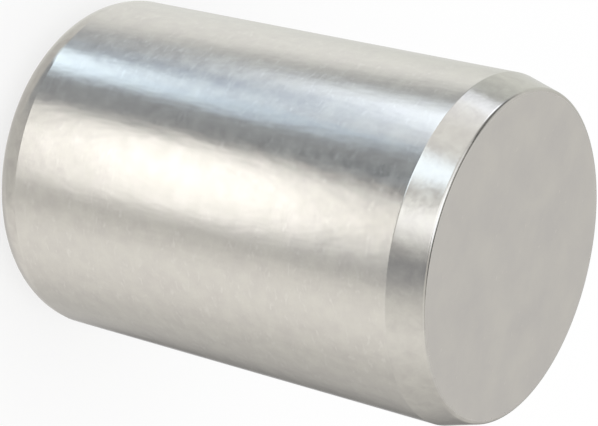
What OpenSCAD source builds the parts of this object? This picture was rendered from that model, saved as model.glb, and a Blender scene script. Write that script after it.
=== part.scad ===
// Dowel pin: a short ground steel pin, pressed into a reamed hole to line up two parts.
// One solid, turned from bar and ground to size. Millimetres, standing on its crowned end,
// with the origin at the middle of that end and +Z along the axis to the bevelled point.

/* [Shank] */
// Diameter after grinding, 0.005 over the nominal 12.7 so that it holds by interference
pin_d = 12.705; // [8:0.005:25]
// Length over both ends
pin_l = 19.05; // [8:0.05:100]

/* [Bevelled point] */
// How far the bevel brings the surface in at the point, measured on the radius
bevel_depth = 0.37; // [0.1:0.01:0.6]
// Angle between the bevel and the axis, in degrees
bevel_angle = 16; // [8:0.5:30]
// Radius that tumbling leaves on the edge between the bevel and the end face
edge_break_r = 0.14; // [0.02:0.01:0.2]

/* [Crowned end] */
// Radius of the rounded corner, as turned on the blank
crown_r = 1.68; // [1.6:0.01:3.5]
// Height of the crown, from the end face to the edge that the grinding wheel leaves
crown_h = 1.57; // [0.8:0.01:1.6]

/* [Hidden] */
$fn = 128;

shank_r = pin_d / 2;

// Point: the bevel's length along the axis, and the radius where it meets the end face
bevel_h = bevel_depth / tan(bevel_angle);
point_r = shank_r - bevel_depth;

// Edge break: an arc tangent to the end face and to the bevel
edge_setback = edge_break_r * tan(45 - bevel_angle / 2);
edge_arc_x = point_r - edge_setback;
edge_arc_z = pin_l - edge_break_r;
edge_end_x = point_r + edge_setback * sin(bevel_angle);
edge_end_z = pin_l - edge_setback * cos(bevel_angle);

// Crown: an arc tangent to the end face that meets the ground shank at crown_h
crown_arc_x = shank_r - sqrt(pow(crown_r, 2) - pow(crown_r - crown_h, 2));

// Overlap of the cutting outlines past the blank
past = 1;

// Half section of the shank with its bevel, both corners still sharp
module sharp_outline() {
    polygon([
        [0, 0],
        [shank_r, 0],
        [shank_r, pin_l - bevel_h],
        [point_r, pin_l],
        [0, pin_l]
    ]);
}

// What the crown's rounded corner leaves out
module crown_corner() {
    difference() {
        translate([crown_arc_x, -past])
            square([shank_r - crown_arc_x + past, crown_r + past]);
        translate([crown_arc_x, crown_r])
            circle(r = crown_r);
    }
}

// What the broken edge at the point leaves out
module edge_corner() {
    difference() {
        polygon([
            [edge_arc_x, pin_l],
            [edge_arc_x, pin_l + past],
            [point_r + past, pin_l + past],
            [edge_end_x, edge_end_z],
            [edge_arc_x, edge_arc_z]
        ]);
        translate([edge_arc_x, edge_arc_z])
            circle(r = edge_break_r);
    }
}

module dowel_pin() {
    color("#C8C7C1")
    rotate_extrude()
    difference() {
        sharp_outline();
        crown_corner();
        edge_corner();
    }
}

dowel_pin();
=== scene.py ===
import math

import bpy
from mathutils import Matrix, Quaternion, Vector


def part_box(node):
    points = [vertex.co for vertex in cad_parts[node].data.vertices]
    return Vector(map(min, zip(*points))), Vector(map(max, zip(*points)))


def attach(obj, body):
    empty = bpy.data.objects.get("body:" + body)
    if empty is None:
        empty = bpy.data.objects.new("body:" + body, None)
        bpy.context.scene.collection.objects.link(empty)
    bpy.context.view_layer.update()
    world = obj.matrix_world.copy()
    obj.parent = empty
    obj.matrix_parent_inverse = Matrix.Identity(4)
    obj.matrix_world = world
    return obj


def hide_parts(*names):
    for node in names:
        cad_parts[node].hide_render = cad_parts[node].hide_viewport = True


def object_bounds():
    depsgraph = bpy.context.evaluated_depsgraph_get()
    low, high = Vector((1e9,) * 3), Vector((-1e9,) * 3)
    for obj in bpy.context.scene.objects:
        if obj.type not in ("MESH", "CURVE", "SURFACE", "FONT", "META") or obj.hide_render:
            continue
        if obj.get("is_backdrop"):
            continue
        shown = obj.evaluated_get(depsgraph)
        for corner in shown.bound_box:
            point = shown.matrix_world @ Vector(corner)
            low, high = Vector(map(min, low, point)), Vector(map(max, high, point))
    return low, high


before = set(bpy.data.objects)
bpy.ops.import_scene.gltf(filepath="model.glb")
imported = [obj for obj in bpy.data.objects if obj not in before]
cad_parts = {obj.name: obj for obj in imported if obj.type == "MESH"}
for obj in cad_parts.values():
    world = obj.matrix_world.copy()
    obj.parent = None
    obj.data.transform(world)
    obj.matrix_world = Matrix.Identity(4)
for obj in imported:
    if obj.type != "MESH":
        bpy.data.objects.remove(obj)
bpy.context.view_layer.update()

# ---------------------------------------------------------------------------------------------
# Camera. A long lens close to the pin, looking down on it past the bevelled point and rolled
# over, so that the standing pin lies across the picture with its point to the right.
# ---------------------------------------------------------------------------------------------
mm = 0.001

camera_at = Vector((0, -75.99, 58.24)) * mm
camera_aim = Vector((0.26, 0, 9.93)) * mm
camera_roll = math.radians(103.57)

bpy.ops.object.camera_add(location=camera_at)
camera = bpy.context.object
camera.name = "camera"
camera.rotation_mode = "QUATERNION"
upright = (camera_aim - camera_at).to_track_quat("-Z", "Y")
camera.rotation_quaternion = upright @ Quaternion((0, 0, 1), camera_roll)
camera.data.lens = 147
camera.data.clip_start = 5 * mm
camera.data.clip_end = 5000 * mm
bpy.context.scene.camera = camera

# ---------------------------------------------------------------------------------------------
# Pin. One piece of hardened steel, turned from bar, tumbled, and ground to size between two
# wheels. Its half section is drawn as the blank, cut as the tools cut it, and spun round; each
# surface then gets the finish that its own tool leaves.
# ---------------------------------------------------------------------------------------------
pin_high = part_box("dowel_pin")[1]
shank_r = pin_high.x
pin_l = pin_high.z
crown_r = 1.68 * mm
crown_h = 1.57 * mm
bevel_depth = 0.37 * mm
bevel_angle = math.radians(16)
edge_break_r = 0.14 * mm
rim_break_r = 0.12 * mm
crown_steps = 48
edge_steps = 12
rim_steps = 4
turn_steps = 480
same_place = 1e-7
pick_within = 0.002 * mm

bevel_h = bevel_depth / math.tan(bevel_angle)
bevel_z = pin_l - bevel_h
point_r = shank_r - bevel_depth
edge_setback = edge_break_r * math.tan(math.pi / 4 - bevel_angle / 2)
rim_setback = rim_break_r * math.tan(bevel_angle / 2)
grind_stock = crown_r - math.sqrt(crown_r**2 - (crown_r - crown_h) ** 2)
blank_r = shank_r + grind_stock


def select(obj, kind, wanted):
    """In edit mode, selects the vertices, edges or faces of obj that wanted() says yes to."""
    bpy.ops.mesh.select_mode(type=kind)
    bpy.ops.mesh.select_all(action="DESELECT")
    bpy.ops.object.mode_set(mode="OBJECT")
    mesh = obj.data
    parts = {"VERT": mesh.vertices, "EDGE": mesh.edges, "FACE": mesh.polygons}[kind]
    for part in parts:
        corners = [part.index] if kind == "VERT" else part.vertices
        part.select = wanted([mesh.vertices[i].co for i in corners])
    bpy.ops.object.mode_set(mode="EDIT")


def near(a, b):
    return abs(a - b) < pick_within


# The blank's half section, from the axis out to the radius that it had before grinding
bpy.ops.object.select_all(action="DESELECT")
bpy.ops.mesh.primitive_plane_add(size=1)
pin = bpy.context.object
pin.name = pin.data.name = "ground_pin"
bpy.ops.object.mode_set(mode="EDIT")
bpy.ops.mesh.select_all(action="SELECT")
bpy.ops.transform.rotate(value=math.pi / 2, orient_axis="X", center_override=(0, 0, 0))
bpy.ops.transform.resize(value=(blank_r, 1, pin_l), center_override=(0, 0, 0))
bpy.ops.transform.translate(value=(blank_r / 2, 0, pin_l / 2))

# The crown is a corner rounded on the blank. The wheel then takes the stock off the shank,
# which leaves the faint edge where the crown begins.
select(pin, "VERT", lambda at: near(at[0].x, blank_r) and near(at[0].z, 0))
bpy.ops.mesh.bevel(affect="VERTICES", offset=crown_r, segments=crown_steps, profile=0.5)
bpy.ops.mesh.select_all(action="SELECT")
bpy.ops.mesh.bisect(
    plane_co=(shank_r, 0, 0), plane_no=(1, 0, 0), clear_outer=True, threshold=same_place
)

# The point: the lead-in bevel, then the edges that tumbling takes off, a clear one round the
# end face and a hair's breadth where the bevel meets the shank
bpy.ops.mesh.select_all(action="SELECT")
bpy.ops.mesh.bisect(
    plane_co=(point_r, 0, pin_l),
    plane_no=(math.cos(bevel_angle), 0, math.sin(bevel_angle)),
    clear_outer=True,
    threshold=same_place,
)
select(pin, "VERT", lambda at: near(at[0].x, point_r) and near(at[0].z, pin_l))
bpy.ops.mesh.bevel(affect="VERTICES", offset=edge_setback, segments=edge_steps, profile=0.5)
select(pin, "VERT", lambda at: near(at[0].x, shank_r) and near(at[0].z, bevel_z))
bpy.ops.mesh.bevel(affect="VERTICES", offset=rim_setback, segments=rim_steps, profile=0.5)

# Only the outline is kept, with rings that hold each flat true up to its rounded edge. It is
# open at the axis, and is spun into the whole pin.
rim_start_z = bevel_z - rim_setback
rim_end_z = bevel_z + rim_setback * math.cos(bevel_angle)
edge_end_z = pin_l - edge_setback * math.cos(bevel_angle)
hold = 0.02 * mm
bpy.ops.mesh.select_all(action="SELECT")
bpy.ops.mesh.delete(type="ONLY_FACE")
select(pin, "EDGE", lambda at: near(at[0].x, 0) and near(at[1].x, 0))
bpy.ops.mesh.delete(type="EDGE")
for held_at, across in (
    ((shank_r - crown_r - hold, 0, 0), (1, 0, 0)),
    ((point_r - edge_setback - hold, 0, 0), (1, 0, 0)),
    ((0, 0, edge_end_z - hold), (0, 0, 1)),
    ((0, 0, rim_end_z + hold), (0, 0, 1)),
    ((0, 0, rim_start_z - hold), (0, 0, 1)),
):
    bpy.ops.mesh.select_mode(type="VERT")
    bpy.ops.mesh.select_all(action="SELECT")
    bpy.ops.mesh.bisect(plane_co=held_at, plane_no=across, threshold=same_place)
bpy.ops.mesh.select_all(action="SELECT")
bpy.ops.mesh.spin(steps=turn_steps, angle=2 * math.pi, center=(0, 0, 0), axis=(0, 0, 1))
bpy.ops.mesh.select_all(action="SELECT")
bpy.ops.mesh.remove_doubles(threshold=same_place)
bpy.ops.mesh.normals_make_consistent(inside=False)

# The faint edge that the wheel leaves at the crown stays crisp
select(
    pin,
    "EDGE",
    lambda at: all(near(co.xy.length, shank_r) and near(co.z, crown_h) for co in at),
)
bpy.ops.mesh.mark_sharp()
bpy.ops.object.mode_set(mode="OBJECT")
bpy.ops.object.shade_smooth()


def linear(hex_colour):
    """Turns an sRGB hex colour into the linear one that a shader takes."""
    out = []
    for i in (1, 3, 5):
        c = int(hex_colour[i : i + 2], 16) / 255
        out.append(c / 12.92 if c <= 0.04045 else ((c + 0.055) / 1.055) ** 2.4)
    return (*out, 1)


def add(tree, kind, inputs=None, **settings):
    """Adds a node. An input, given by identifier or number, is a value, an output or a node."""
    node = tree.nodes.new(kind)
    for name, value in settings.items():
        setattr(node, name, value)
    sockets = {socket.identifier: socket for socket in node.inputs}
    for key, value in (inputs or {}).items():
        socket = node.inputs[key] if isinstance(key, int) else sockets[key]
        if isinstance(value, bpy.types.Node):
            value = next(output for output in value.outputs if output.enabled)
        if isinstance(value, bpy.types.NodeSocket):
            tree.links.new(value, socket)
        else:
            socket.default_value = value
    return node


def new_material(name):
    material = bpy.data.materials.new(name)
    material.use_nodes = True
    material.node_tree.nodes.clear()
    return material, material.node_tree


# Hardened steel, centreless ground, then lightly tumbled. The wheels leave fine lines round
# the pin, which spread what the shank mirrors along its length, and faint waves, which bend
# the edges of its bright bands. Tumbling breaks the lines into short pale flecks and rubs the
# rims a little smoother. The real lines are a few thousandths of a millimetre apart, and are
# drawn as coarse as they need to show.
line_size = (0.35 * mm, 0.35 * mm, 0.12 * mm)
fleck_size = (0.34 * mm, 0.34 * mm, 0.15 * mm)
wave_size = (0.6 * mm, 0.6 * mm, 1.8 * mm)
cloud_size = 0.6 * mm
wave_depth = 0.01 * mm
line_depth = 0.0003 * mm
shank_rough = (0.17, 0.21)
fleck_rougher = 0.02
rim_smoother = 0.02
rim_width = 0.15 * mm
ground_middle = (crown_h + bevel_z) / 2
ground_half = (bevel_z - crown_h) / 2

# A noise pattern seldom goes below the low value or above the high one. Flecks are its few
# high spots.
noise_low, noise_high = 0.3, 0.7
fleck_low, fleck_high = 0.54, 0.78


def off_the_middle(tree, place):
    """Gives how far along the pin a point lies from the middle of the ground stretch."""
    height = add(tree, "ShaderNodeSeparateXYZ", {"Vector": place}).outputs["Z"]
    offset = add(tree, "ShaderNodeMath", {0: height, 1: ground_middle}, operation="SUBTRACT")
    return add(tree, "ShaderNodeMath", {0: offset}, operation="ABSOLUTE")


ground, tree = new_material("hardened_steel_centreless_ground")
place = add(tree, "ShaderNodeTexCoord").outputs["Object"]
patterns = {}
for name, size, detail, distortion in (
    ("lines", line_size, 2, 0),
    ("flecks", fleck_size, 2, 0.6),
    ("waves", wave_size, 2, 0),
    ("clouds", (cloud_size,) * 3, 3, 0),
):
    sized = add(
        tree, "ShaderNodeMapping", {"Vector": place, "Scale": tuple(1 / side for side in size)}
    )
    patterns[name] = add(
        tree,
        "ShaderNodeTexNoise",
        {"Vector": sized, "Scale": 1, "Detail": detail, "Distortion": distortion},
    )
flecks = add(
    tree,
    "ShaderNodeMapRange",
    {"Value": patterns["flecks"], "From Min": fleck_low, "From Max": fleck_high},
    interpolation_type="SMOOTHSTEP",
)
clouds = add(
    tree,
    "ShaderNodeMapRange",
    {"Value": patterns["clouds"], "From Min": noise_low, "From Max": noise_high},
)
rubbed = add(
    tree,
    "ShaderNodeMapRange",
    {
        "Value": off_the_middle(tree, place),
        "From Min": ground_half - rim_width,
        "From Max": ground_half,
    },
    interpolation_type="SMOOTHSTEP",
)
rubbed = add(tree, "ShaderNodeMath", {0: rubbed, 1: clouds}, operation="MULTIPLY")
rough = add(
    tree,
    "ShaderNodeMapRange",
    {"Value": clouds, "To Min": shank_rough[0], "To Max": shank_rough[1]},
)
for changed, change in ((flecks, fleck_rougher), (rubbed, -rim_smoother)):
    rough = add(
        tree, "ShaderNodeMath", {0: changed, 1: change, 2: rough}, operation="MULTIPLY_ADD"
    )
tone = add(
    tree,
    "ShaderNodeMix",
    {"Factor_Float": clouds, "A_Color": linear("#D3D1CB"), "B_Color": linear("#DBDAD2")},
    data_type="RGBA",
)
for brightens, colour in ((flecks, "#DEDDD6"), (rubbed, "#DAD9D2")):
    tone = add(
        tree,
        "ShaderNodeMix",
        {"Factor_Float": brightens, "A_Color": tone, "B_Color": linear(colour)},
        data_type="RGBA",
    )
relief = add(tree, "ShaderNodeBump", {"Distance": wave_depth, "Height": patterns["waves"]})
relief = add(
    tree,
    "ShaderNodeBump",
    {"Distance": line_depth, "Height": patterns["lines"], "Normal": relief},
)
lay = add(tree, "ShaderNodeTangent", direction_type="RADIAL", axis="Z")
shader = add(
    tree,
    "ShaderNodeBsdfPrincipled",
    {
        "Base Color": tone,
        "Metallic": 1,
        "Roughness": rough,
        "Anisotropic": 0.37,
        "Anisotropic Rotation": 0.25,
        "Tangent": lay,
        "Normal": relief,
    },
)
add(tree, "ShaderNodeOutputMaterial", {"Surface": shader})

# Hardened steel, turned and tumbled. The crown, the bevel and the broken edge are never
# ground. They mirror more clearly than the shank, through the soft patches, shallow dents and
# fine grain that tumbling leaves, and are smoother still beside the rims.
patch_size = 0.45 * mm
dent_size = 0.6 * mm
grain_size = 0.16 * mm
dent_depth = 0.0055 * mm
grain_depth = 0.001 * mm
tumbled_rough = (0.12, 0.20)

tumbled, tree = new_material("hardened_steel_turned_and_tumbled")
place = add(tree, "ShaderNodeTexCoord").outputs["Object"]
patches = add(
    tree,
    "ShaderNodeTexNoise",
    {"Vector": place, "Scale": 1 / patch_size, "Detail": 3, "Distortion": 0.4},
)
patches = add(
    tree,
    "ShaderNodeMapRange",
    {"Value": patches, "From Min": noise_low, "From Max": noise_high},
)
dents = add(tree, "ShaderNodeTexNoise", {"Vector": place, "Scale": 1 / dent_size, "Detail": 2})
grain = add(tree, "ShaderNodeTexNoise", {"Vector": place, "Scale": 1 / grain_size, "Detail": 2})
rubbed = add(
    tree,
    "ShaderNodeMapRange",
    {
        "Value": off_the_middle(tree, place),
        "From Min": ground_half + rim_width,
        "From Max": ground_half,
    },
    interpolation_type="SMOOTHSTEP",
)
rough = add(
    tree,
    "ShaderNodeMapRange",
    {"Value": patches, "To Min": tumbled_rough[0], "To Max": tumbled_rough[1]},
)
rough = add(
    tree, "ShaderNodeMath", {0: rubbed, 1: -rim_smoother, 2: rough}, operation="MULTIPLY_ADD"
)
tone = add(
    tree,
    "ShaderNodeMix",
    {"Factor_Float": patches, "A_Color": linear("#D1CFC9"), "B_Color": linear("#DCDBD3")},
    data_type="RGBA",
)
relief = add(tree, "ShaderNodeBump", {"Distance": dent_depth, "Height": dents})
relief = add(tree, "ShaderNodeBump", {"Distance": grain_depth, "Height": grain, "Normal": relief})
shader = add(
    tree,
    "ShaderNodeBsdfPrincipled",
    {"Base Color": tone, "Metallic": 1, "Roughness": rough, "Normal": relief},
)
add(tree, "ShaderNodeOutputMaterial", {"Surface": shader})

# Hardened steel, cut off and tumbled. The end faces are an even satin grey that mirrors
# nothing clearly, softly clouded and finely grained, with a few short pale nicks and a
# smoother rim.
face_cloud_size = 1.5 * mm
nick_size = (0.35 * mm, 0.15 * mm, 0.15 * mm)
face_grain_depth = 0.0022 * mm
nick_depth = 0.002 * mm
face_rough = (0.29, 0.35)
face_rim_smoother = 0.03
nick_low, nick_high = 0.70, 0.82

satin, tree = new_material("hardened_steel_tumbled_satin")
place = add(tree, "ShaderNodeTexCoord").outputs["Object"]
clouds = add(
    tree, "ShaderNodeTexNoise", {"Vector": place, "Scale": 1 / face_cloud_size, "Detail": 3}
)
clouds = add(
    tree,
    "ShaderNodeMapRange",
    {"Value": clouds, "From Min": noise_low, "From Max": noise_high},
)
grain = add(
    tree,
    "ShaderNodeTexNoise",
    {"Vector": place, "Scale": 1 / grain_size, "Detail": 2, "Distortion": 0.5},
)
nicks = add(
    tree, "ShaderNodeMapping", {"Vector": place, "Scale": tuple(1 / side for side in nick_size)}
)
nicks = add(tree, "ShaderNodeTexNoise", {"Vector": nicks, "Scale": 1, "Detail": 1})
nicks = add(
    tree,
    "ShaderNodeMapRange",
    {"Value": nicks, "From Min": nick_low, "From Max": nick_high},
    interpolation_type="SMOOTHSTEP",
)
flat = add(tree, "ShaderNodeVectorMath", {0: place, 1: (1, 1, 0)}, operation="MULTIPLY")
radius = add(tree, "ShaderNodeVectorMath", {0: flat}, operation="LENGTH").outputs["Value"]
rubbed = add(
    tree,
    "ShaderNodeMapRange",
    {"Value": radius, "From Min": point_r - edge_setback - 2 * rim_width, "From Max": point_r},
    interpolation_type="SMOOTHSTEP",
)
rough = add(
    tree,
    "ShaderNodeMapRange",
    {
        "Value": grain,
        "From Min": noise_low,
        "From Max": noise_high,
        "To Min": face_rough[0],
        "To Max": face_rough[1],
    },
)
rough = add(
    tree, "ShaderNodeMath", {0: rubbed, 1: -face_rim_smoother, 2: rough}, operation="MULTIPLY_ADD"
)
tone = add(
    tree,
    "ShaderNodeMix",
    {"Factor_Float": clouds, "A_Color": linear("#DAD8D3"), "B_Color": linear("#E1DFD8")},
    data_type="RGBA",
)
tone = add(
    tree,
    "ShaderNodeMix",
    {"Factor_Float": nicks, "A_Color": tone, "B_Color": linear("#E8E5DF")},
    data_type="RGBA",
)
relief = add(tree, "ShaderNodeBump", {"Distance": face_grain_depth, "Height": grain})
relief = add(tree, "ShaderNodeBump", {"Distance": nick_depth, "Height": nicks, "Normal": relief})
shader = add(
    tree,
    "ShaderNodeBsdfPrincipled",
    {"Base Color": tone, "Metallic": 1, "Roughness": rough, "Normal": relief},
)
add(tree, "ShaderNodeOutputMaterial", {"Surface": shader})


def middle(at):
    return sum(co.z for co in at) / len(at)


# Each later finish takes its faces over from the ones before it
finishes = (
    (satin, lambda at: True),
    (tumbled, lambda at: same_place < middle(at) < pin_l - same_place),
    (ground, lambda at: crown_h < middle(at) < bevel_z),
)
bpy.ops.object.mode_set(mode="EDIT")
for slot, (material, wanted) in enumerate(finishes):
    bpy.ops.object.material_slot_add()
    pin.active_material = material
    select(pin, "FACE", wanted)
    pin.active_material_index = slot
    bpy.ops.object.material_slot_assign()
bpy.ops.object.mode_set(mode="OBJECT")

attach(pin, "root")
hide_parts("dowel_pin")

# ---------------------------------------------------------------------------------------------
# Floor. A sheet of white paper that the pin stands on, with its soft shadow. The pin doesn't
# mirror the sheet: it mirrors the light tent all round, its lower half too.
# ---------------------------------------------------------------------------------------------
paper_width = 2000 * mm

bpy.ops.object.select_all(action="DESELECT")
bpy.ops.mesh.primitive_plane_add(size=paper_width)
floor = bpy.context.object
floor.name = floor.data.name = "floor"
floor.visible_glossy = False

# White paper, uncoated. It is matt and shows no grain at this distance: a pale grey that takes
# the shadow, lifted to white wherever it is looked at.
paper_grey = linear("#959595")
paper, tree = new_material("uncoated_white_paper")
path = add(tree, "ShaderNodeLightPath")
looked_at = add(
    tree,
    "ShaderNodeMath",
    {0: path.outputs["Is Camera Ray"], 1: path.outputs["Is Glossy Ray"]},
    operation="MAXIMUM",
)
looked_at = add(
    tree,
    "ShaderNodeMath",
    {0: looked_at, 1: path.outputs["Is Transmission Ray"]},
    operation="MAXIMUM",
)
lift = add(tree, "ShaderNodeMath", {0: looked_at, 1: 1 - paper_grey[0]}, operation="MULTIPLY")
shade = add(tree, "ShaderNodeBsdfDiffuse", {"Color": paper_grey})
glow = add(tree, "ShaderNodeEmission", {"Strength": lift})
both = add(tree, "ShaderNodeAddShader", {0: shade, 1: glow})
add(tree, "ShaderNodeOutputMaterial", {"Surface": both})
floor.data.materials.append(paper)
floor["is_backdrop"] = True

# ---------------------------------------------------------------------------------------------
# Light tent. White all round for the floor and the background; what the steel mirrors is the
# tent's inside, pale cloth with soft boxes, sheets and gaps between them.
# ---------------------------------------------------------------------------------------------
world = bpy.data.worlds.new("light_tent")
bpy.context.scene.world = world
world.use_nodes = True
tree = world.node_tree
tree.nodes.clear()
world.cycles.sampling_method = "NONE"

cloth = ("#FFFCFA", 0.62)
# Seen from the pin, in degrees: azimuth (0 is the camera's side, 90 is +X) and elevation of
# the middle, tilt, width, height and how soft the upright and the level edges are; then the
# colour and the strength. Each one hangs in front of those before it.
panels = {
    "floor_sheet": (87, -49, -17, 83, 34, 59, 18, "#FFFBF9", 0.86),
    "top_box": (-32, 67, -28, 79, 49, 3, 88, "#F4F7FF", 1.99),
    "roof_gap": (-170, 66, -26, 173, 40, 48, 3, "#FFFFFF", 0.1),
    "back_wall": (160, 46, -9, 157, 27, 21, 24, "#FFFDFD", 0.76),
    "back_gap": (175, -18, -2, 48, 38, 82, 3, "#FFFFFF", 0.03),
    "left_sheet": (-145, -34, 10, 100, 3, 7, 56, "#FDFCFF", 1.96),
    "left_card": (-72, -22, -30, 107, 53, 39, 12, "#F3F7FF", 0.39),
    "cool_strip": (-65, -41, 28, 23, 9, 21, 4, "#E0F0FF", 2.56),
    "cool_box": (-75, -26, 5, 27, 13, 23, 5, "#E8F1FF", 2.38),
    "low_card": (-65, -34, 1, 24, 7, 20, 3, "#C8DFFF", 0.82),
    "narrow_gap": (-33, -25, 47, 13, 53, 4, 3, "#FFFFFF", 0),
    "key_strip": (0, -35, 3, 52, 6, 19, 4, "#FFFCFB", 2.71),
    "left_wall": (-146, -19, -42, 50, 71, 82, 3, "#FEFFFA", 0.78),
    "left_box": (-88, 2, -3, 31, 22, 6, 16, "#F1F4FF", 2.13),
    "left_screen": (-66, -4, -31, 42, 37, 3, 41, "#FFFDFD", 0.95),
    "front_left_box": (-35, -10, -39, 32, 22, 9, 6, "#E9F3FF", 1.76),
    "front_box": (-9, 15, -30, 32, 30, 25, 8, "#FCFCFF", 1.53),
    "front_gap": (24, 7, -1, 26, 80, 24, 4, "#F8F9FF", 0.35),
    "right_wall": (70, 12, -15, 26, 106, 82, 9, "#FFFCFA", 1.05),
}


def lit(hex_colour, strength):
    """A colour that shines at this strength."""
    return tuple(c * strength for c in linear(hex_colour)[:3]) + (1,)


view = add(tree, "ShaderNodeTexCoord").outputs["Generated"]
turned = add(tree, "ShaderNodeMapping", {"Vector": view, "Rotation": (0, 0, math.pi / 2)})
axes = add(tree, "ShaderNodeSeparateXYZ", {0: turned}).outputs
azimuth = add(tree, "ShaderNodeMath", {0: axes["Y"], 1: axes["X"]}, operation="ARCTAN2")
elevation = add(tree, "ShaderNodeMath", {0: axes["Z"]}, operation="ARCSINE")
tent = lit(*cloth)
for az, el, tilt, wide, high, soft_x, soft_y, colour, strength in panels.values():
    off = add(tree, "ShaderNodeMath", {0: azimuth, 1: math.radians(az)}, operation="SUBTRACT")
    off = add(tree, "ShaderNodeMath", {0: off, 1: math.pi, 2: -math.pi}, operation="WRAP")
    at = add(tree, "ShaderNodeCombineXYZ", {0: off, 1: elevation})
    at = add(
        tree,
        "ShaderNodeMapping",
        {
            "Vector": at,
            "Location": (0, math.radians(el), 0),
            "Rotation": (0, 0, math.radians(tilt)),
            "Scale": (math.radians(wide) / 2, math.radians(high) / 2, 1),
        },
        vector_type="TEXTURE",
    )
    at = add(tree, "ShaderNodeVectorMath", {0: at}, operation="ABSOLUTE")
    inside = add(
        tree,
        "ShaderNodeMapRange",
        {
            "Vector": at,
            "From_Min_FLOAT3": (1 + soft_x / wide, 1 + soft_y / high, 1),
            "From_Max_FLOAT3": (1 - soft_x / wide, 1 - soft_y / high, 0),
        },
        data_type="FLOAT_VECTOR",
        interpolation_type="SMOOTHSTEP",
    )
    sides = add(tree, "ShaderNodeSeparateXYZ", {0: inside}).outputs
    cover = add(tree, "ShaderNodeMath", {0: sides["X"], 1: sides["Y"]}, operation="MULTIPLY")
    tent = add(
        tree,
        "ShaderNodeMix",
        {"Factor_Float": cover, "A_Color": tent, "B_Color": lit(colour, strength)},
        data_type="RGBA",
    )

path = add(tree, "ShaderNodeLightPath")
mirrored = path.outputs["Is Glossy Ray"]
seen = add(
    tree,
    "ShaderNodeMix",
    {"Factor_Float": mirrored, "A_Color": linear("#FFFFFF"), "B_Color": tent},
    data_type="RGBA",
)
sky = add(tree, "ShaderNodeBackground", {"Color": seen, "Strength": 1})
add(tree, "ShaderNodeOutputWorld", {"Surface": sky})

bpy.context.scene.view_settings.view_transform = "Standard"

# ---------------------------------------------------------------------------------------------
# The visual model's box, without the floor, to set beside the CAD box
# ---------------------------------------------------------------------------------------------
low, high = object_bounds()
